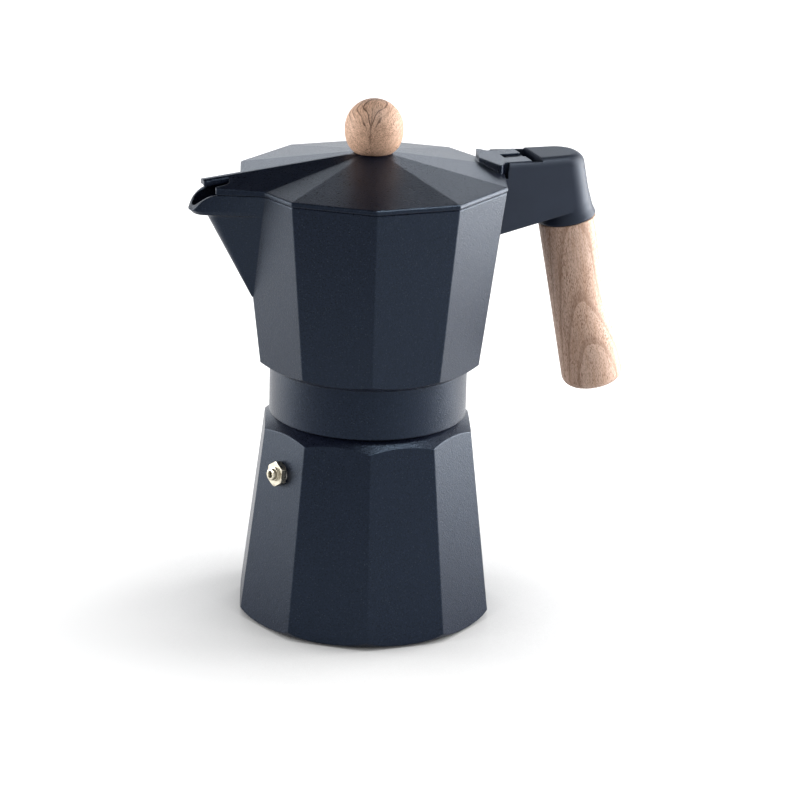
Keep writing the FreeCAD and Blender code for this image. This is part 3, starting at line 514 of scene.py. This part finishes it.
def circles(centre_x, radius, height, columns):
    """Rings of points about upright lines: x = centre + r cos a, y = r sin a, z = height."""
    angle = np.linspace(0, 2 * np.pi, columns, endpoint=False)
    radius = np.broadcast_to(np.asarray(radius).reshape(len(height), -1), (len(height), columns))
    x = np.asarray(centre_x)[:, None] + radius * np.cos(angle)
    y = radius * np.sin(angle)
    return np.stack([x, y, np.broadcast_to(np.asarray(height)[:, None], x.shape)], -1)


def piece(mesh, body, node, material):
    """Object of a mesh that rides a body and stands for a CAD node."""
    made = link(mesh)
    mesh.materials.append(material)
    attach(made, body)
    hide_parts(node)


class MOKA_OT_coat(bpy.types.Operator):
    """Coats boiler, pot and lid, and finishes the bracket"""

    bl_idname = "moka.coat"
    bl_label = "Coat the body"

    def execute(self, context):
        dress(coat_material(), ["boiler", "upper_pot", "lid"])
        dress(bracket_material(), ["handle_bracket"])
        return {"FINISHED"}


class MOKA_OT_ball(bpy.types.Operator):
    """Turns the beech ball on the lid"""

    bl_idname = "moka.ball"
    bl_label = "Turn the ball"

    def execute(self, context):
        low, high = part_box("lid_knob")
        radius = (high.x - low.x) / 2
        middle = low.z + sizes().ball_seat
        mesh = skin("ball_knob", *self.rings(radius, low.z, middle))
        material = beech_material(
            "beech_ball", tuple(finish().ball_pale), pith=(-0.0060, -0.0120, middle + 0.0206),
            turn=grain_axes((-0.25, -0.47, 0.85), (0.40, 0.75, 0.53)), spacing=0.0023, line_strength=1.0,
            fleck_size=0.0004, figured=True)
        piece(mesh, "lid", "lid_knob", material)
        return {"FINISHED"}

    def rings(self, radius, seat, middle):
        """Half circle above the middle, |r|^n + |z|^n = 1 below it, an eased seat and the insert's hole."""
        fullness = sizes().ball_fullness
        ease = sizes().ball_ease
        hole = sizes().ball_hole
        top = seat + sizes().ball_hole_depth
        upper = np.linspace(0, np.pi / 2, 40)[1:]
        drop = np.linspace(0, (middle - seat) / radius, 34)[1:]
        lower = radius * (1 - drop ** fullness) ** (1 / fullness)
        foot = lower[-1]
        reach = np.concatenate([radius * np.sin(upper), lower[:-1], [foot - ease / 3, foot - 2 * ease],
                                [hole + ease, hole, hole]])
        height = np.concatenate([middle + radius * np.cos(upper), middle - radius * drop[:-1],
                                 [seat + ease / 2, seat], [seat, seat + ease, top]])
        poles = np.array([[0, 0, middle + radius], [0, 0, top]])
        return circles(np.zeros_like(reach), reach, height, 128), poles


class MOKA_OT_grip(bpy.types.Operator):
    """Turns and bores the beech grip"""

    bl_idname = "moka.grip"
    bl_label = "Turn the grip"

    def execute(self, context):
        tilt = sizes().grip_tilt
        turn = np.array([[math.cos(tilt), 0, -math.sin(tilt)], [0, 1, 0], [math.sin(tilt), 0, math.cos(tilt)]])
        place = np.array([sizes().grip_reach, 0, sizes().grip_height])
        mesh = skin("grip_wood", self.rings() @ turn.T + place)
        lean = math.radians(6)
        grain = turn @ np.array([0, -math.sin(lean), math.cos(lean)])
        material = beech_material(
            "beech_grip", tuple(finish().wood_pale), pith=tuple(place + np.array([0.006, 0.034, -0.004])),
            turn=grain_axes((0.08, -1, 0), grain), spacing=0.0031, line_strength=0.3, fleck_size=0.00034)
        piece(mesh, "pot", "grip", material)
        return {"FINISHED"}

    def radius(self, station):
        """Section radius below the top: half cosine waves from top to waist and from waist to heel."""
        size = sizes()
        to_waist = np.clip(station / size.waist_station, 0, 1)
        to_heel = np.clip((station - size.waist_station) / (size.heel_station - size.waist_station), 0, 1)
        waist_wave, heel_wave = ((1 - np.cos(np.pi * part)) / 2 for part in (to_waist, to_heel))
        return (size.grip_top + (size.grip_waist - size.grip_top) * waist_wave
                + (size.grip_heel - size.grip_waist) * heel_wave)

    def rings(self):
        """Circles that all touch one straight inner line, a rounded end, a counterbore and a bore."""
        size = sizes()
        ease = size.grip_ease
        corner = np.linspace(0, np.pi / 2, 6)
        bend = np.linspace(0, np.pi / 2, 14)
        straight = np.linspace(ease, size.grip_length - size.grip_end, 72)[1:-1]
        station = np.concatenate([ease * (1 - np.cos(corner)), straight,
                                  size.grip_length - size.grip_end * (1 - np.sin(bend))])
        inset = np.concatenate([ease * (1 - np.sin(corner)), np.zeros(len(straight)),
                                size.grip_end * (1 - np.cos(bend))])
        outer = self.radius(station)
        recess = size.counterbore_depth - size.grip_length
        inner = np.array([size.counterbore + ease, size.counterbore, size.counterbore, size.grip_bore,
                          size.grip_bore, size.grip_bore + ease])
        inner_height = np.array([-size.grip_length, ease - size.grip_length, recess, recess, -ease, 0])
        reach = np.concatenate([outer - inset, inner])
        centre = np.concatenate([outer - size.grip_top, np.zeros(len(inner))])
        return circles(centre, reach, np.concatenate([-station, inner_height]), 120)


class MOKA_OT_valve(bpy.types.Operator):
    """Turns the brass safety valve"""

    bl_idname = "moka.valve"
    bl_label = "Turn the valve"

    def execute(self, context):
        outward = VALVE_AXIS / np.linalg.norm(VALVE_AXIS)
        swing = np.cross([0, 0, 1], outward)
        cross = np.array([[0, -swing[2], swing[1]], [swing[2], 0, -swing[0]], [-swing[1], swing[0], 0]])
        turn = np.eye(3) + cross + cross @ cross / (1 + outward[2])
        mesh = skin("valve_fitting", self.rings() @ turn.T + VALVE_SEAT)
        brass = metal_material("turned_brass_valve", tuple(finish().brass), 0.3, (600, 600, 900))
        piece(mesh, "base", "valve_body", brass)
        return {"FINISHED"}

    def rings(self):
        """The valve's section turned round; the hexagon is the lesser of its flats and a cone."""
        section = VALVE_SECTION / 1000
        columns = 144
        angle = np.linspace(0, 2 * np.pi, columns, endpoint=False) - sizes().hexagon_turn
        flat = sizes().hexagon / 2 / np.cos(angle % (np.pi / 3) - np.pi / 6)
        reach = np.minimum(section[:, :1], flat)
        return circles(np.zeros(len(section)), reach, section[:, 1], columns)


class MOKA_OT_fittings(bpy.types.Operator):
    """Finishes the small metal and rubber pieces"""

    bl_idname = "moka.fittings"
    bl_label = "Finish the fittings"

    def execute(self, context):
        brass = metal_material("turned_brass", tuple(finish().brass), 0.3, (900, 900, 2600))
        steel = metal_material("plated_steel", tuple(finish().steel), 0.34, (2200, 2200, 700))
        aluminium = metal_material("satin_aluminium", tuple(finish().aluminium), 0.38, (700, 700, 2600))
        dress(brass, ["valve_poppet", "valve_retainer", "knob_insert", "grip_insert"])
        dress(steel, ["valve_spring", "bracket_screws", "grip_screw", "grip_washer", "hinge_pin",
                      "knob_screw", "knob_washer"])
        dress(aluminium, ["funnel", "funnel_filter", "filter_plate", "column"])
        dress(rubber_material(), ["valve_washer", "gasket"])
        return {"FINISHED"}


def area_lamp(name, place, target, size, power, colour):
    """Large soft rectangular lamp whose -Z points at a target."""
    lamp = bpy.data.lights.new(name, "AREA")
    lamp.color = colour
    lamp.shape = "RECTANGLE"
    lamp.size, lamp.size_y = size
    lamp.energy = power
    made = bpy.data.objects.new(name, lamp)
    aim = (Vector(target) - Vector(place)).to_track_quat("-Z", "Y").to_matrix().to_4x4()
    made.matrix_world = Matrix.Translation(place) @ aim
    bpy.context.scene.collection.objects.link(made)
    made.visible_camera = False
    return made


class MOKA_OT_stage(bpy.types.Operator):
    """Adds floor, backdrop, lamps and the camera"""

    bl_idname = "moka.stage"
    bl_label = "Set the stage"

    def execute(self, context):
        scene = context.scene
        scene.view_settings.view_transform = "Standard"
        self.floor()
        self.world(scene)
        for name, place, target, size, power, colour in LAMPS:
            lamp = area_lamp(name, place, target, size, getattr(studio(), power), colour)
            # The edge lamp shows in gloss alone.
            lamp.visible_diffuse = name != "lamp_edge"
        self.camera(scene)
        return {"FINISHED"}

    def floor(self):
        """Level sheet, white except where the pot's cast shadow and the painted shade near it darken it."""
        across = np.linspace(-FLOOR_HALF_WIDTH, FLOOR_HALF_WIDTH, 25)
        x, y = np.meshgrid(across, across)
        points = np.stack([x, y, np.full_like(x, FLOOR_HEIGHT)], -1).reshape(-1, 3)
        index = np.arange(len(points)).reshape(x.shape)
        quads = np.stack([index[:-1, :-1], index[:-1, 1:], index[1:, 1:], index[1:, :-1]], -1).reshape(-1, 4)
        floor = link(mesh_of("floor", points, quads.tolist()))
        floor.data.materials.append(self.floor_material())

    def floor_material(self):
        """Pale floor, lifted to white for camera, glossy and transmission rays; the lift is held back near the
        pot and to the left front as painted shade.
        """
        shade = Shade("floor_white")
        grain = shade.noise(shade.place(even(FLOOR_CLOUDS)))
        colour = tuple(studio().floor)
        away = shade.node("ShaderNodeVectorMath", {0: shade.coordinates}, operation="LENGTH").outputs["Value"]
        # Painted shadow: ambient occlusion darkens the floor's white glow round the pot.
        painted_shadow_ao = shade.node("ShaderNodeAmbientOcclusion", {"Distance": PAINTED_SHADOW_REACH}, samples=12).outputs["AO"]
        path = shade.node("ShaderNodeLightPath").outputs
        seen = shade.calc("MAXIMUM", path["Is Camera Ray"], path["Is Glossy Ray"])
        seen = shade.calc("MAXIMUM", seen, path["Is Transmission Ray"])
        # Painted shade: the floor's glow fades to the left front, and the coat's facets reflect that darker
        # floor.
        painted_shade_left_front = shade.span(shade.along(shade.coordinates, LEFT_FRONT), FADE_START, FADE_END, 1.0, FADE_SHARE)
        # Painted shade: the floor's glow is lower near the pot.
        painted_shade_near_pot = shade.span(away, GLOW_NEAR, GLOW_FAR, GLOW_SHARE, 1.0)
        # The white lift, darkened by the painted shadow and the painted shade.
        white_lift_with_painted_shade = shade.product(shade.calc("POWER", painted_shadow_ao, PAINTED_SHADOW_DEPTH), painted_shade_near_pot, painted_shade_left_front, seen)
        shade.set(Base_Color=shade.mix(shade.spread(grain), tint(colour, 0.99), colour), Roughness=0.9,
                  Specular_IOR_Level=0.0, Emission_Color=(*WHITE, 1), Emission_Strength=white_lift_with_painted_shade)
        return shade.material

    def world(self, scene):
        """White band low down all round, a soft front that reaches higher, and a dark ceiling.

        The band is 1 for rays below about 20 degrees. The front is the fill, for rays towards the camera
        below about 40 degrees.
        """
        world = bpy.data.worlds.new("studio_air")
        world.use_nodes = True
        scene.world = world
        air = Nodes(world.node_tree)
        ray = air.node("ShaderNodeTexCoord").outputs["Generated"]
        height = air.node("ShaderNodeSeparateXYZ", {0: ray}).outputs["Z"]
        band = air.span(height, BAND_END, BAND_FULL, blend="SMOOTHSTEP")
        below = air.span(height, FILL_END, FILL_FULL, blend="SMOOTHSTEP")
        facing = air.span(air.along(ray, AWAY), FRONT_NONE, FRONT_FULL, blend="SMOOTHSTEP")
        front = air.product(below, facing, studio().fill)
        background = world.node_tree.nodes["Background"]
        air.feed(background.inputs["Color"], (*WHITE, 1))
        air.feed(background.inputs["Strength"], air.calc("MAXIMUM", band, front))

    def camera(self, scene):
        """Camera of the photograph."""
        lens = bpy.data.cameras.new("camera")
        lens.sensor_width = CAMERA_SENSOR
        lens.lens = CAMERA_LENS
        lens.clip_end = CAMERA_REACH
        made = bpy.data.objects.new("camera", lens)
        turn = Matrix((CAMERA_RIGHT, CAMERA_UP, CAMERA_BACK)).transposed().to_4x4()
        made.matrix_world = Matrix.Translation(CAMERA_PLACE) @ turn
        scene.collection.objects.link(made)
        scene.camera = made


class MOKA_PT_panel(bpy.types.Panel):
    """Lists the settings and steps of the pot"""

    bl_idname = "MOKA_PT_panel"
    bl_label = "Moka pot"
    bl_space_type = "VIEW_3D"
    bl_region_type = "UI"
    bl_category = "Moka pot"

    def draw(self, context):
        for group in (context.scene.moka_finish, context.scene.moka_sizes, context.scene.moka_studio):
            for key in group.__annotations__:
                self.layout.prop(group, key)
        for step in STEPS:
            self.layout.operator(step.bl_idname)


STEPS = [MOKA_OT_coat, MOKA_OT_ball, MOKA_OT_grip, MOKA_OT_valve, MOKA_OT_fittings, MOKA_OT_stage]
CLASSES = [MokaFinish, MokaSizes, MokaStudio, *STEPS, MOKA_PT_panel]


def register():
    """Registers the classes and the scene's settings."""
    for item in CLASSES:
        bpy.utils.register_class(item)
    bpy.types.Scene.moka_finish = bpy.props.PointerProperty(type=MokaFinish)
    bpy.types.Scene.moka_sizes = bpy.props.PointerProperty(type=MokaSizes)
    bpy.types.Scene.moka_studio = bpy.props.PointerProperty(type=MokaStudio)


def unregister():
    """Takes the settings and classes away again."""
    del bpy.types.Scene.moka_finish
    del bpy.types.Scene.moka_sizes
    del bpy.types.Scene.moka_studio
    for item in reversed(CLASSES):
        bpy.utils.unregister_class(item)


def main():
    """Makes the pot's looks step by step."""
    register()
    for step in STEPS:
        group, name = step.bl_idname.split(".")
        getattr(getattr(bpy.ops, group), name)()


if __name__ == "__main__":
    main()
